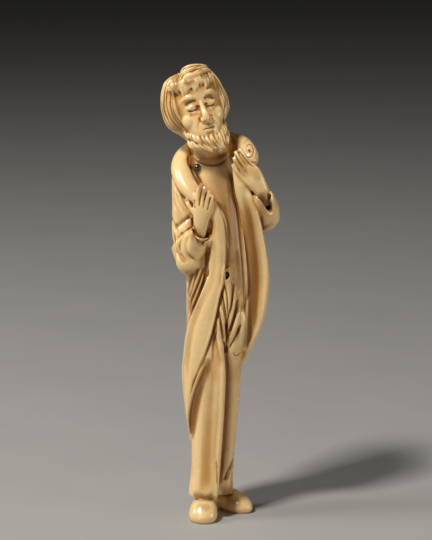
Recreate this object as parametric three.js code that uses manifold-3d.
// A tall standing netsuke: a bearded man in trousers, shoes and an open coat, who holds his
// lapels. Carved from one piece of ivory, with two dark horn buttons let into the front.
// Millimetres, +Z up. The man faces -Y, so his right side is at -X. While the pieces are made,
// x = 0 and y = 0 lie between his feet; the finished group is moved over its own footprint.
import * as THREE from "three";
import { mergeVertices } from "three/addons/utils/BufferGeometryUtils.js";
import Module from "manifold-3d";

const wasm = await Module();
wasm.setup();

// ---- driving dimensions -------------------------------------------------------------------
const buttonRadius = 0.95; // the horn button at the collar
const buttonRise = 0.85; // how far a button's dome stands over its seat
const pegRadius = 0.4;
const pegLength = 1.0;
const seatGap = 0.3; // air between a button and the ivory around it
const seatSink = 0.35; // how deep a button's rim lies below the cloth
const cordHoleRadius = 1.7; // the cord channel (himotoshi) through the back
const hemHeight = 17.5; // the coat's hem at his right, from where it rises to his left
const hemRise = 42; // degrees
const headCentre = [-4.3, -1.2, 99.2];
const headTilt = { roll: -17, pitch: -6, yaw: 13 }; // degrees: crown to his right, chin up, face left

const toBack = [0, 1, 0];
const toFront = [0, -1, 0];

// ---- tools --------------------------------------------------------------------------------
const degrees = THREE.MathUtils.degToRad;
const vector = (xyz) => new THREE.Vector3(...xyz);

// A closed geometry as a solid that can be joined and cut.
function solidOf(geometry) {
  const bare = geometry.clone();
  bare.deleteAttribute("normal");
  bare.deleteAttribute("uv");
  const merged = mergeVertices(bare, 1e-4);
  return new wasm.Manifold(
    new wasm.Mesh({
      numProp: 3,
      vertProperties: new Float32Array(merged.attributes.position.array),
      triVerts: new Uint32Array(merged.index.array),
    }),
  );
}

function geometryOf(solid) {
  const { vertProperties, triVerts } = solid.getMesh();
  const geometry = new THREE.BufferGeometry();
  geometry.setAttribute("position", new THREE.BufferAttribute(vertProperties, 3));
  geometry.setIndex(new THREE.BufferAttribute(triVerts, 1));
  geometry.computeVertexNormals();
  return geometry;
}

const joined = (solids) => solids.reduce((whole, piece) => whole.add(piece));

// A closed form drawn over rings. Each row is x, y, z of a ring's centre, half its width, half
// its depth (left out: as the width) and its turn in degrees. The depth lies along `facing`;
// level rings stay flat, and the others stand square to the path. relief(angle, t) raises the
// surface: the angle is 90 on the facing side, and t runs from 0 to 1 along the rows.
function skin(rows, { sides = 12, steps = 8, facing = toBack, level = false, relief } = {}) {
  const path = new THREE.CatmullRomCurve3(rows.map(([x, y, z]) => new THREE.Vector3(x, y, z)));
  const sizes = new THREE.CatmullRomCurve3(
    rows.map(([, , , wide, deep = wide, turn = 0]) => new THREE.Vector3(wide, deep, turn)),
  );
  path.curveType = sizes.curveType = "catmullrom";
  const geometry = new THREE.SphereGeometry(1, sides, steps + 2);
  const place = geometry.attributes.position;
  const uv = geometry.attributes.uv;
  for (let i = 0; i < place.count; i++) {
    const row = Math.round((1 - uv.getY(i)) * (steps + 2));
    const t = THREE.MathUtils.clamp((row - 1) / steps, 0, 1);
    const pole = row === 0 || row === steps + 2;
    const along = level ? new THREE.Vector3(0, 0, 1) : path.getTangent(t);
    const side = vector(facing).cross(along).normalize();
    const out = along.clone().cross(side);
    const size = sizes.getPoint(t);
    const angle = Math.PI * (1 - 2 * uv.getX(i));
    const raised = relief ? relief((THREE.MathUtils.radToDeg(angle) + 360) % 360, t) : 0;
    const point = new THREE.Vector3();
    if (!pole) {
      point.addScaledVector(side, (size.x + raised) * Math.cos(angle));
      point.addScaledVector(out, (size.y + raised) * Math.sin(angle));
      point.applyAxisAngle(along, degrees(size.z));
    }
    point.add(path.getPoint(t));
    place.setXYZ(i, point.x, point.y, point.z);
  }
  return solidOf(geometry);
}

// An ellipsoid.
function pebble([x, y, z], [wide, deep, tall], sides = 12) {
  const geometry = new THREE.SphereGeometry(1, sides, Math.round(sides * 0.7));
  return solidOf(geometry.rotateX(Math.PI / 2).scale(wide, deep, tall).translate(x, y, z));
}

// A slim ridge or lock: thin at its root, full at its middle and pointed at its tip.
function lock(points, width, { thick = width * 0.7, facing = toFront, sides = 4, steps = 3 } = {}) {
  const fullness = [0.45, 1, 0.85, 0.12];
  const curve = new THREE.CatmullRomCurve3(points.map(vector));
  const rows = fullness.map((full, i) => {
    const at = curve.getPoint(i / (fullness.length - 1));
    return [at.x, at.y, at.z, full * width, full * thick];
  });
  return skin(rows, { sides, steps, facing });
}

// A raised fold whose height fades along and across it.
const bump = (distance, reach) => Math.max(0, 1 - (distance / reach) ** 2) ** 2;
function folds(list) {
  return (angle, t) =>
    list.reduce((sum, { from, to, reach, height, start = 0, end = 1 }) => {
      const s = (t - start) / (end - start);
      if (s < 0 || s > 1) return sum;
      const centre = from + (to - from) * s;
      const off = Math.abs(((angle - centre + 540) % 360) - 180);
      return sum + height * bump(off, reach) * Math.sqrt(Math.sin(Math.PI * s));
    }, 0);
}

// ---- legs and shoes -----------------------------------------------------------------------
// In level rings the angle is 0 at his left (+X), 90 at his back and 270 at his front.
function trousers() {
  const right = skin(
    [
      [-2.8, -2.4, 4.9, 3.6, 3.8],
      [-2.8, -2.4, 7, 3.6, 3.9],
      [-2.4, -2.3, 12, 3.4, 3.8],
      [-2.2, -2.1, 20, 3.45, 3.9],
      [-1.65, -1.9, 29, 3.6, 4.2],
      [-1.25, -1.6, 36, 3.7, 4.4],
      [-0.9, -1.3, 43, 3.6, 4.5],
      [-0.4, -1.0, 52, 3.4, 4.3],
    ],
    {
      sides: 16,
      level: true,
      relief: folds([
        { from: 303, to: 312, reach: 32, height: 0.8, end: 0.9 },
        { from: 262, to: 268, reach: 20, height: -0.35, end: 0.85 },
      ]),
    },
  );
  const left = skin(
    [
      [1.3, 3.0, 4.6, 3.1, 3.4],
      [1.3, 3.0, 7, 3.15, 3.5],
      [1.5, 2.8, 13, 3.15, 3.6],
      [2.15, 2.4, 21, 3.25, 3.9],
      [2.75, 1.9, 29, 3.4, 4.2],
      [3.0, 1.3, 36, 3.5, 4.6],
      [4.0, 0.5, 43, 3.7, 5.2],
      [4.4, -0.3, 52, 3.3, 5.3],
    ],
    {
      sides: 14,
      level: true,
      relief: folds([{ from: 320, to: 285, reach: 26, height: 0.5, end: 0.35 }]),
    },
  );
  return joined([right, left, crotchFolds()]);
}

// The trouser cloth gathers between the thighs in long pointed folds.
function crotchFolds() {
  return joined([
    lock([[2.9, -5.9, 62], [3.1, -6.3, 57], [3.0, -6.0, 52], [2.9, -5.3, 46]], 1.1, { thick: 1.0 }),
    lock([[1.9, -5.6, 58], [2.2, -5.9, 54.5], [2.5, -5.7, 51], [2.8, -4.9, 45]], 0.6, { thick: 0.8 }),
    lock([[4.9, -5.6, 58.5], [4.4, -5.9, 55], [3.8, -5.7, 51], [3.0, -4.9, 45]], 0.7, { thick: 0.8 }),
    lock([[0.9, -5.3, 56], [1.3, -5.7, 52.5], [1.9, -5.6, 48], [2.5, -4.8, 42]], 0.7, { thick: 0.8 }),
    lock([[0.1, -5.2, 51.5], [0.6, -5.7, 48], [1.4, -5.8, 43], [2.1, -5.2, 36]], 0.85, { thick: 0.8 }),
    lock([[5.9, -4.6, 53.5], [5.3, -5.0, 50], [4.4, -4.8, 46], [3.4, -4.0, 41]], 0.7, { thick: 0.8 }),
    lock([[5.6, -3.4, 54], [6.3, -3.9, 49], [5.9, -3.4, 44], [4.6, -2.6, 39.5]], 1.3, { thick: 1.3 }),
  ]);
}

function shoes() {
  const right = skin(
    [
      [-2.2, 3.4, 1.6, 1.0, 0.8],
      [-2.3, 2.4, 1.9, 2.3, 2.6],
      [-2.5, -1.5, 2.2, 2.8, 3.1],
      [-2.8, -5.4, 1.6, 3.5, 2.9],
      [-3.0, -8.2, 1.3, 3.0, 2.2],
      [-3.1, -9.8, 1.0, 0.9, 0.7],
    ],
    { steps: 6, facing: [0, 0, 1] },
  );
  const left = skin(
    [
      [0.5, 7.1, 1.6, 1.0, 0.8],
      [1.2, 6.3, 1.9, 2.3, 2.6],
      [3.4, 4.4, 2.2, 2.7, 3.1],
      [5.8, 2.4, 1.6, 3.1, 2.6],
      [7.7, 0.9, 1.3, 2.6, 2.0],
      [9.1, -0.1, 1.0, 0.8, 0.6],
    ],
    { steps: 6, facing: [0, 0, 1] },
  );
  const ground = solidOf(new THREE.BoxGeometry(60, 60, 10).translate(0, 0, -5));
  return joined([right, left]).subtract(ground);
}

// ---- body and coat ------------------------------------------------------------------------
function shirtFront() {
  return skin(
    [
      [2.4, -0.8, 46, 4.2, 4.2],
      [2.7, -0.9, 53, 5.4, 5.2],
      [3.0, -0.7, 59, 6.0, 5.8],
      [2.9, -0.4, 65, 6.0, 5.8],
      [2.3, 0.0, 72, 6.0, 5.7],
      [1.3, 0.5, 79, 6.0, 5.7],
      [0.2, 0.9, 85, 5.6, 5.5],
      [-0.7, 1.0, 88.6, 4.7, 5.0],
      [-1.3, 0.8, 91.5, 4.4, 4.6],
      [-2.2, 0.8, 96, 4.2, 4.4],
    ],
    { sides: 14, level: true },
  );
}

// The neckband of the shirt shows as a low welt under the beard.
function neckband() {
  return skin(
    [
      [-5.0, -1.6, 88.2, 0.4],
      [-3.5, -3.4, 87.4, 0.5],
      [-0.9, -4.3, 87.1, 0.6],
      [1.6, -3.9, 87.7, 0.5],
      [3.2, -2.3, 89.0, 0.4],
    ],
    { sides: 5, steps: 5, facing: [0, 0, 1] },
  );
}

function coatBack() {
  const cloth = skin(
    [
      [-1.0, 4.6, 17, 4.4, 2.6],
      [-0.8, 4.2, 22, 5.8, 3.6],
      [-0.8, 3.8, 29, 6.6, 4.2],
      [-0.8, 3.4, 36, 6.9, 4.6],
      [0.9, 2.9, 43, 8.0, 5.0],
      [2.5, 2.5, 50, 8.9, 5.4],
      [2.8, 2.3, 57, 9.4, 5.7],
      [2.2, 2.2, 64, 9.1, 5.9],
      [1.4, 2.2, 72, 8.6, 5.9],
      [0.8, 2.3, 80, 8.5, 5.6],
      [0.7, 2.5, 86, 7.9, 4.9],
      [1.0, 2.8, 90, 5.8, 3.9],
      [1.2, 3.2, 92.3, 3.4, 2.6],
    ],
    {
      sides: 22,
      steps: 11,
      level: true,
      relief: folds([
        { from: 40, to: 75, reach: 18, height: 0.8, start: 0.1, end: 0.7 },
        { from: 75, to: 112, reach: 18, height: 0.8, end: 0.62 },
        { from: 118, to: 135, reach: 18, height: 0.7, end: 0.8 },
        { from: 152, to: 165, reach: 16, height: 0.5, end: 0.6 },
        { from: 8, to: 20, reach: 18, height: 0.5, start: 0.3, end: 0.8 },
      ]),
    },
  );
  const belowHem = new THREE.BoxGeometry(60, 40, 30).translate(0, 0, -15);
  belowHem.rotateY(-degrees(hemRise)).translate(-7, 4, hemHeight);
  return cloth.subtract(solidOf(belowHem));
}

// The coat's front panel on his right, from under the elbow to its hanging point.
function rightPanel() {
  return skin(
    [
      [-4.9, 2.4, 17.5, 1.0, 1.6],
      [-5.0, 1.8, 24, 2.1, 2.8],
      [-5.2, 1.2, 30, 2.4, 3.0],
      [-5.0, 0.4, 36, 2.9, 3.3],
      [-4.2, -0.3, 42, 3.3, 3.8],
      [-3.5, -0.6, 48, 3.2, 4.2],
      [-3.3, -0.8, 54, 3.5, 4.6],
      [-3.3, -0.9, 60, 3.7, 4.7],
      [-3.2, -0.9, 68, 3.4, 4.6],
    ],
    {
      sides: 14,
      level: true,
      relief: folds([
        { from: 200, to: 262, reach: 16, height: 0.5, start: 0.5 },
        { from: 180, to: 236, reach: 12, height: 0.4, start: 0.58 },
      ]),
    },
  );
}

// The panel on his left ends higher, where it is drawn back behind the thigh.
function leftPanel() {
  return skin(
    [
      [5.8, 1.7, 37.5, 0.6, 1.4],
      [6.7, 1.3, 41.5, 1.4, 2.8],
      [8.2, 0.8, 48, 2.3, 3.7],
      [9.2, 0.3, 55, 2.8, 4.2],
      [9.3, 0.0, 62, 2.9, 4.5],
      [8.8, -0.3, 70, 2.6, 4.5],
      [7.8, -0.4, 78, 2.2, 4.2],
    ],
    { steps: 6, level: true },
  );
}

// Each lapel is a broad band that runs down the coat's front edge and thins to a point.
function lapels() {
  const right = skin(
    [
      [-2.4, -6.2, 77.5, 2.3, 1.1, 0],
      [0.8, -6.4, 73.6, 1.8, 1.1, 0],
      [1.0, -6.4, 68.5, 2.0, 1.1, 0],
      [0.8, -6.3, 63.5, 2.1, 1.1, 0],
      [0.3, -6.1, 58.8, 2.2, 1.1, 2],
      [-1.5, -5.8, 54, 2.7, 1.1, 8],
      [-3.0, -5.2, 49, 3.1, 1.1, 16],
      [-4.3, -4.4, 44, 3.2, 1.1, 24],
      [-5.4, -3.4, 39, 2.7, 1.0, 34],
      [-6.2, -2.2, 33, 1.7, 0.9, 46],
      [-6.3, -1.0, 26, 1.2, 0.8, 60],
      [-5.6, 0.2, 18, 0.5, 0.5, 70],
    ],
    { sides: 8, steps: 12, facing: toFront },
  );
  const left = skin(
    [
      [5.4, -5.3, 86, 1.5, 1.0, 20],
      [6.4, -5.4, 81, 1.9, 1.1, 22],
      [7.9, -5.2, 76.5, 2.2, 1.1, 26],
      [8.8, -4.8, 72, 2.6, 1.1, 30],
      [9.5, -4.3, 67, 3.0, 1.2, 34],
      [10.0, -3.8, 62, 3.4, 1.2, 36],
      [10.1, -3.4, 57.5, 3.4, 1.2, 38],
      [9.7, -3.0, 52, 3.0, 1.2, 38],
      [9.0, -2.6, 47.5, 2.3, 1.1, 38],
      [8.0, -2.0, 43, 1.4, 1.0, 38],
      [6.8, -1.2, 38.2, 0.5, 0.6, 38],
    ],
    { sides: 8, steps: 10, facing: toFront },
  );
  return joined([right, left]);
}

// The collar is a thick roll that lies over each shoulder and runs into the lapels.
function collar() {
  return skin(
    [
      [-2.2, -6.2, 77.0, 2.0, 1.2],
      [-4.8, -5.6, 79.6, 2.3, 1.7],
      [-7.0, -3.8, 82.2, 2.5, 2.0],
      [-8.1, -1.2, 85.0, 2.4, 2.2],
      [-7.3, 2.0, 87.4, 2.4, 2.3],
      [-4.6, 4.8, 89.4, 2.2, 2.2],
      [-0.6, 6.2, 90.6, 2.0, 2.1],
      [3.4, 4.8, 91.0, 2.1, 2.2],
      [6.2, 2.2, 90.4, 2.3, 2.3],
      [7.7, -0.6, 89.0, 2.3, 2.2],
      [8.5, -2.8, 87.6, 2.0, 1.8],
      [8.9, -4.0, 86.6, 1.0, 0.9],
    ],
    { sides: 9, steps: 14, facing: [0, -0.2, 1] },
  );
}

// ---- arms ---------------------------------------------------------------------------------
function rightSleeve() {
  const upper = skin(
    [
      [-6.7, -0.4, 61.3, 1.2, 1.8],
      [-6.8, 0.0, 64, 2.6, 3.4],
      [-7.0, 0.8, 69, 3.3, 4.0],
      [-7.2, 1.4, 76, 3.1, 4.0],
      [-7.2, 1.8, 84, 3.0, 3.6],
      [-6.6, 2.0, 88, 1.8, 2.4],
    ],
    { steps: 6, level: true },
  );
  const forearm = skin(
    [
      [-8.2, 0.8, 63.4, 1.3, 1.6],
      [-7.2, -1.0, 64.6, 3.2, 3.6],
      [-5.6, -3.2, 66.2, 3.9, 3.9],
      [-4.2, -5.2, 68.4, 3.7, 3.4],
      [-3.0, -6.8, 70.6, 2.9, 2.5],
    ],
    {
      steps: 6,
      facing: [0, 0, 1],
      relief: folds([
        { from: 60, to: 40, reach: 26, height: 0.5 },
        { from: 150, to: 160, reach: 22, height: 0.5 },
      ]),
    },
  );
  const mouth = skin(
    [
      [-4.4, -5.0, 68.6, 0.9, 0.9],
      [-3.7, -6.0, 69.9, 2.0, 1.7],
      [-2.7, -7.3, 71.6, 2.2, 1.9],
      [-1.9, -8.4, 73.0, 2.3, 2.0],
    ],
    { sides: 8, steps: 3, facing: [0, 0, 1] },
  );
  return joined([upper, forearm]).subtract(mouth);
}

function leftSleeve() {
  const upper = skin(
    [
      [12.3, -1.0, 70.4, 1.2, 1.6],
      [12.6, -0.6, 73, 2.9, 3.3],
      [11.7, 0.0, 76.5, 3.0, 3.5],
      [9.7, 0.6, 81, 2.7, 3.4],
      [7.7, 1.4, 85.5, 2.4, 3.2],
      [8.0, 1.6, 89, 1.6, 2.2],
    ],
    { steps: 6, level: true },
  );
  const forearm = skin(
    [
      [13.0, 0.4, 71.6, 1.4, 1.4],
      [12.6, -1.2, 73.2, 2.8, 2.6],
      [12.1, -3.2, 75.6, 3.2, 2.8],
      [11.5, -5.0, 78.4, 2.8, 2.6],
      [11.2, -5.9, 80.0, 2.1, 2.0],
    ],
    { steps: 5, facing: [0, 1, 0.6] },
  );
  const mouth = skin(
    [
      [12.1, -3.8, 75.6, 0.8, 0.8],
      [11.8, -5.2, 77.8, 1.7, 1.6],
      [11.4, -6.4, 80.0, 1.8, 1.8],
      [11.0, -7.4, 82.2, 1.8, 1.8],
    ],
    { sides: 8, steps: 3, facing: [0, 1, 0.6] },
  );
  return joined([upper, forearm]).subtract(mouth);
}

// A finger or thumb, from its knuckle to its rounded tip.
function finger(from, via, to, radius) {
  const rows = [
    [...from, radius],
    [...via, radius],
    [...to, radius * 0.72],
  ];
  const end = vector(to).add(vector(to).sub(vector(via)).normalize().multiplyScalar(radius * 0.4));
  rows.push([...end.toArray(), radius * 0.3]);
  return skin(rows, { sides: 6, steps: 3, facing: toFront });
}

function rightHand() {
  const palm = skin(
    [
      [-3.7, -5.6, 69.6, 1.0, 0.9],
      [-3.4, -6.9, 72.4, 1.4, 1.1],
      [-3.1, -7.6, 75.2, 2.1, 1.15],
      [-2.8, -7.8, 77.4, 2.3, 1.0],
      [-2.5, -7.7, 79.2, 1.9, 0.7],
    ],
    { sides: 8, steps: 5, facing: toFront },
  );
  return joined([
    palm,
    finger([-4.2, -7.8, 77.6], [-4.0, -8.0, 80.2], [-3.2, -7.7, 82.3], 0.66),
    finger([-3.1, -7.9, 77.6], [-2.8, -8.2, 79.8], [-2.2, -7.9, 81.6], 0.62),
    finger([-2.1, -7.9, 77.2], [-1.8, -8.1, 79.0], [-1.3, -7.8, 80.7], 0.58),
    finger([-1.2, -7.7, 76.4], [-0.9, -7.9, 78.0], [-0.6, -7.7, 79.7], 0.54),
    finger([-4.9, -7.4, 75.4], [-6.0, -7.0, 76.9], [-6.9, -6.2, 78.5], 0.55),
  ]);
}

function leftHand() {
  const palm = skin(
    [
      [11.6, -5.0, 77.8, 1.1, 1.1],
      [11.1, -5.9, 80.3, 1.5, 1.25],
      [9.9, -6.5, 82.4, 2.2, 1.3],
      [8.5, -6.7, 84.4, 2.5, 1.2],
      [7.4, -6.5, 86.2, 2.0, 0.9],
    ],
    { sides: 8, steps: 5, facing: toFront },
  );
  return joined([
    palm,
    finger([8.6, -6.4, 86.0], [7.0, -6.3, 88.6], [5.7, -5.4, 90.2], 0.68),
    finger([7.6, -6.7, 85.4], [6.1, -6.7, 87.8], [4.8, -5.8, 89.7], 0.66),
    finger([7.0, -6.8, 84.6], [5.5, -6.8, 86.6], [4.4, -6.0, 88.3], 0.62),
    finger([6.6, -6.6, 83.6], [5.1, -6.6, 85.3], [4.1, -5.9, 86.7], 0.56),
  ]);
}

// ---- head ---------------------------------------------------------------------------------
// The head is made upright around its own centre, and then tilted and set on the neck.
function skull() {
  return skin(
    [
      [0, -3.8, -9.2, 1.6, 1.6],
      [0, -3.2, -7.8, 3.4, 3.4],
      [0, -1.8, -4.6, 4.8, 5.3],
      [0, -0.6, -1, 5.6, 6.6],
      [0, 0.0, 3, 5.9, 7.0],
      [0, 0.4, 6.2, 5.3, 6.4],
      [0, 0.6, 8.2, 3.0, 4.0],
    ],
    { sides: 16, steps: 7, level: true },
  );
}

function face() {
  const sides = [-1, 1].flatMap((s) => [
    lock([[s * 0.7, -6.6, 2.0], [s * 2.1, -6.6, 2.8], [s * 3.6, -5.7, 2.6], [s * 4.9, -4.3, 1.4]], 0.7),
    pebble([s * 2.4, -5.8, 0.6], [1.2, 0.85, 0.7], 6), // a lowered eyelid
    pebble([s * 2.7, -4.2, -2.6], [2.0, 1.9, 2.1], 6), // a cheek
    pebble([s * 0.9, -7.1, -2.3], [0.62, 0.8, 0.58], 6), // a wing of the nose
  ]);
  const nose = skin(
    [
      [0, -6.2, 2.4, 0.7, 0.5],
      [0, -6.9, 0.4, 0.75, 0.7],
      [0, -7.7, -1.4, 0.85, 0.85],
      [0, -7.9, -2.4, 0.9, 0.8],
      [0, -7.0, -3.0, 0.6, 0.4],
    ],
    { sides: 8, steps: 5, facing: toFront },
  );
  const lip = (z, y, half, thick) =>
    lock([[-half, y + 0.7, z], [-half / 3, y, z + 0.1], [half / 3, y, z + 0.1], [half, y + 0.7, z]], thick, {
      thick,
    });
  return joined([...sides, nose, lip(-4.6, -6.5, 1.8, 0.42), lip(-5.4, -6.3, 1.5, 0.48)]);
}

// The hair lies close in long combed strands, which the flutes of this cap stand for.
function hairCap() {
  const strands = 13;
  const comb = (angle) => 0.3 * Math.cos(degrees(angle * strands));
  const inFace = (angle, t) => (t < 0.7 ? bump(Math.abs(angle - 270), 64) : 0);
  return skin(
    [
      [0, 2.2, -6.4, 3.9, 3.8],
      [-0.4, 1.8, -4, 5.9, 5.2],
      [-0.3, 1.4, 0, 6.6, 6.4],
      [-0.1, 1.2, 3.4, 6.5, 6.8],
      [-0.1, 0.8, 6.4, 5.6, 6.8],
      [-0.1, 0.5, 8.4, 4.0, 5.2],
      [0, 0.3, 9.2, 2.0, 2.6],
    ],
    {
      sides: 26,
      steps: 7,
      level: true,
      relief: (angle, t) => comb(angle + 14 * t) - 1.5 * inFace(angle, t),
    },
  );
}

// Loose locks: a quiff that rises over the brow, pointed tufts on the forehead, and long
// strands beside the cheeks.
function hairLocks() {
  const quiff = [
    [[-3.0, 1.0, 7.6], [-2.4, -2.6, 9.2], [-0.4, -4.6, 9.7], [2.0, -5.5, 8.9]],
    [[-1.4, 1.5, 8.2], [0.2, -2.0, 9.6], [2.3, -3.4, 9.3], [4.0, -4.0, 8.0]],
    [[0.4, 1.6, 8.2], [2.1, -0.6, 8.9], [3.9, -1.8, 8.1], [5.2, -2.4, 6.4]],
    [[-4.4, -0.6, 7.4], [-4.2, -3.6, 8.3], [-2.8, -5.4, 8.1], [-0.8, -6.3, 7.2]],
  ].map((points) => lock(points, 1.5, { thick: 1.2, sides: 5 }));
  const tufts = [-3.3, -1.7, -0.1, 1.6, 3.3].map((x, i) => {
    const drop = 1.1 * (i % 2);
    const brow = 0.2 - 7.2 * Math.sqrt(1 - (x / 5.8) ** 2);
    return lock(
      [
        [x * 0.9, brow + 1.5, 7.6],
        [x, brow + 0.4, 6.6],
        [x * 1.04, brow, 5.2 - drop / 2],
        [x * 1.02 + 0.4, brow + 0.1, 4.0 - drop],
      ],
      0.8,
    );
  });
  const sideLocks = [-1, 1].flatMap((s) =>
    [0, 1].map((n) =>
      lock(
        [
          [s * 4.6, -4.0 + 2.2 * n, 6.0],
          [s * (5.2 + 0.9 * n), -3.8 + 2.2 * n, 3.0],
          [s * (5.2 + 1.2 * n), -3.2 + 2.2 * n, -0.8],
          [s * (4.9 + 0.7 * n), -2.6 + 2.2 * n, -5.0],
        ],
        1.0,
        { facing: [s, 0, 0] },
      ),
    ),
  );
  return joined([...quiff, ...tufts, ...sideLocks, pebble([0, -2.4, 6.6], [4.2, 3.4, 2.2], 8)]);
}

// The beard follows the jaw from ear to ear in pointed, wavy locks.
function beard() {
  const count = 8;
  const locks = Array.from({ length: count }, (_, i) => {
    const around = degrees(-76 + (152 * i) / (count - 1)); // 0 under the chin's front
    const side = Math.sin(around);
    const front = Math.cos(around);
    const drop = 2.6 + 1.8 * front + 0.6 * (i % 2);
    const root = [4.6 * side, -1.9 - 4.1 * front, -6.2 + 2.1 * (1 - front)];
    const belly = [4.5 * side + 0.1, -2.4 - 4.7 * front, root[2] - drop * 0.4];
    const tip = [3.5 * side + 0.7, -2.7 - 4.1 * front, root[2] - drop];
    const curl = [tip[0] - 0.3, tip[1] - 0.3, tip[2] + 0.9];
    return lock([root, belly, curl, tip], 1.05, { thick: 0.95 });
  });
  return joined([...locks, pebble([0, -4.2, -7.4], [3.3, 2.5, 2.3], 8)]);
}

function head() {
  const { roll, pitch, yaw } = headTilt;
  const turn = new THREE.Euler(degrees(pitch), degrees(roll), degrees(yaw), "XYZ");
  const pose = new THREE.Matrix4()
    .makeTranslation(...headCentre)
    .multiply(new THREE.Matrix4().makeRotationFromEuler(turn));
  return joined([skull(), face(), hairCap(), hairLocks(), beard()]).transform(pose.toArray());
}

// ---- inlays and cord channel --------------------------------------------------------------
// A button: a domed head on a short peg. Its axis is +Z, with its rim at z = 0.
function buttonGeometry(grow = 0) {
  const profile = [
    new THREE.Vector2(0, -pegLength - grow),
    new THREE.Vector2(pegRadius + grow, -pegLength - grow),
    new THREE.Vector2(pegRadius + grow, -grow),
    new THREE.Vector2(buttonRadius + grow, -grow),
  ];
  const steps = 4;
  for (let i = 1; i <= steps; i++) {
    const rise = (Math.PI / 2) * (i / steps);
    const radius = i < steps ? (buttonRadius + grow) * Math.cos(rise) : 0;
    profile.push(new THREE.Vector2(radius, (buttonRise + grow) * Math.sin(rise)));
  }
  return new THREE.LatheGeometry(profile, 12).rotateX(Math.PI / 2);
}

const waistButtonSize = 0.7; // against the button at the collar
const buttons = {
  collar_button: { at: [-4.35, -3.3, 85.7], facing: [-0.45, -0.85, 0.15], size: 1 },
  waist_button: { at: [2.55, -6.0, 60.4], facing: [0, -1, 0], size: waistButtonSize },
};

function buttonPose({ at, facing, size }) {
  const axis = vector(facing).normalize();
  const turn = new THREE.Quaternion().setFromUnitVectors(new THREE.Vector3(0, 0, 1), axis);
  const rim = vector(at).addScaledVector(axis, -seatSink);
  return new THREE.Matrix4().compose(rim, turn, new THREE.Vector3(size, size, size));
}

// Two holes in the back, joined inside by a curved channel for the cord.
function cordChannel() {
  const middle = [1.6, 9.6, 66];
  const bend = 6.4;
  const rows = Array.from({ length: 7 }, (_, i) => {
    const a = (Math.PI * i) / 6;
    const radius = cordHoleRadius * (i < 4 ? 1 : 0.8);
    return [middle[0], middle[1] - bend * 0.85 * Math.sin(a), middle[2] + bend * Math.cos(a), radius];
  });
  return skin(rows, { sides: 8, steps: 6, facing: [1, 0, 0] });
}

// ---- the netsuke --------------------------------------------------------------------------
const ivory = new THREE.MeshStandardMaterial({ color: 0xe6cf9f, roughness: 0.35, metalness: 0 });
const horn = new THREE.MeshStandardMaterial({ color: 0x1d1512, roughness: 0.2, metalness: 0 });

function carving() {
  const shirt = joined([shirtFront(), neckband()]);
  const coat = joined([coatBack(), rightPanel(), leftPanel(), lapels(), collar()]);
  const body = joined([trousers(), shoes(), shirt, coat]);
  const arms = joined([rightSleeve(), leftSleeve(), rightHand(), leftHand()]);
  const seats = Object.values(buttons).map((button) =>
    solidOf(buttonGeometry(seatGap / button.size)).transform(buttonPose(button).toArray()),
  );
  return joined([body, arms, head()]).subtract(joined([cordChannel(), ...seats]));
}

const netsuke = new THREE.Group();
const figure = new THREE.Mesh(geometryOf(carving()), ivory);
figure.name = "figure";
netsuke.add(figure);
for (const [name, button] of Object.entries(buttons)) {
  const mesh = new THREE.Mesh(buttonGeometry(), horn);
  mesh.name = name;
  mesh.applyMatrix4(buttonPose(button));
  netsuke.add(mesh);
}

// The frame's origin lies on the ground under the middle of the figure's box.
const box = new THREE.Box3().setFromObject(netsuke);
const centre = box.getCenter(new THREE.Vector3());
netsuke.position.set(-centre.x, -centre.y, 0);

export default netsuke;
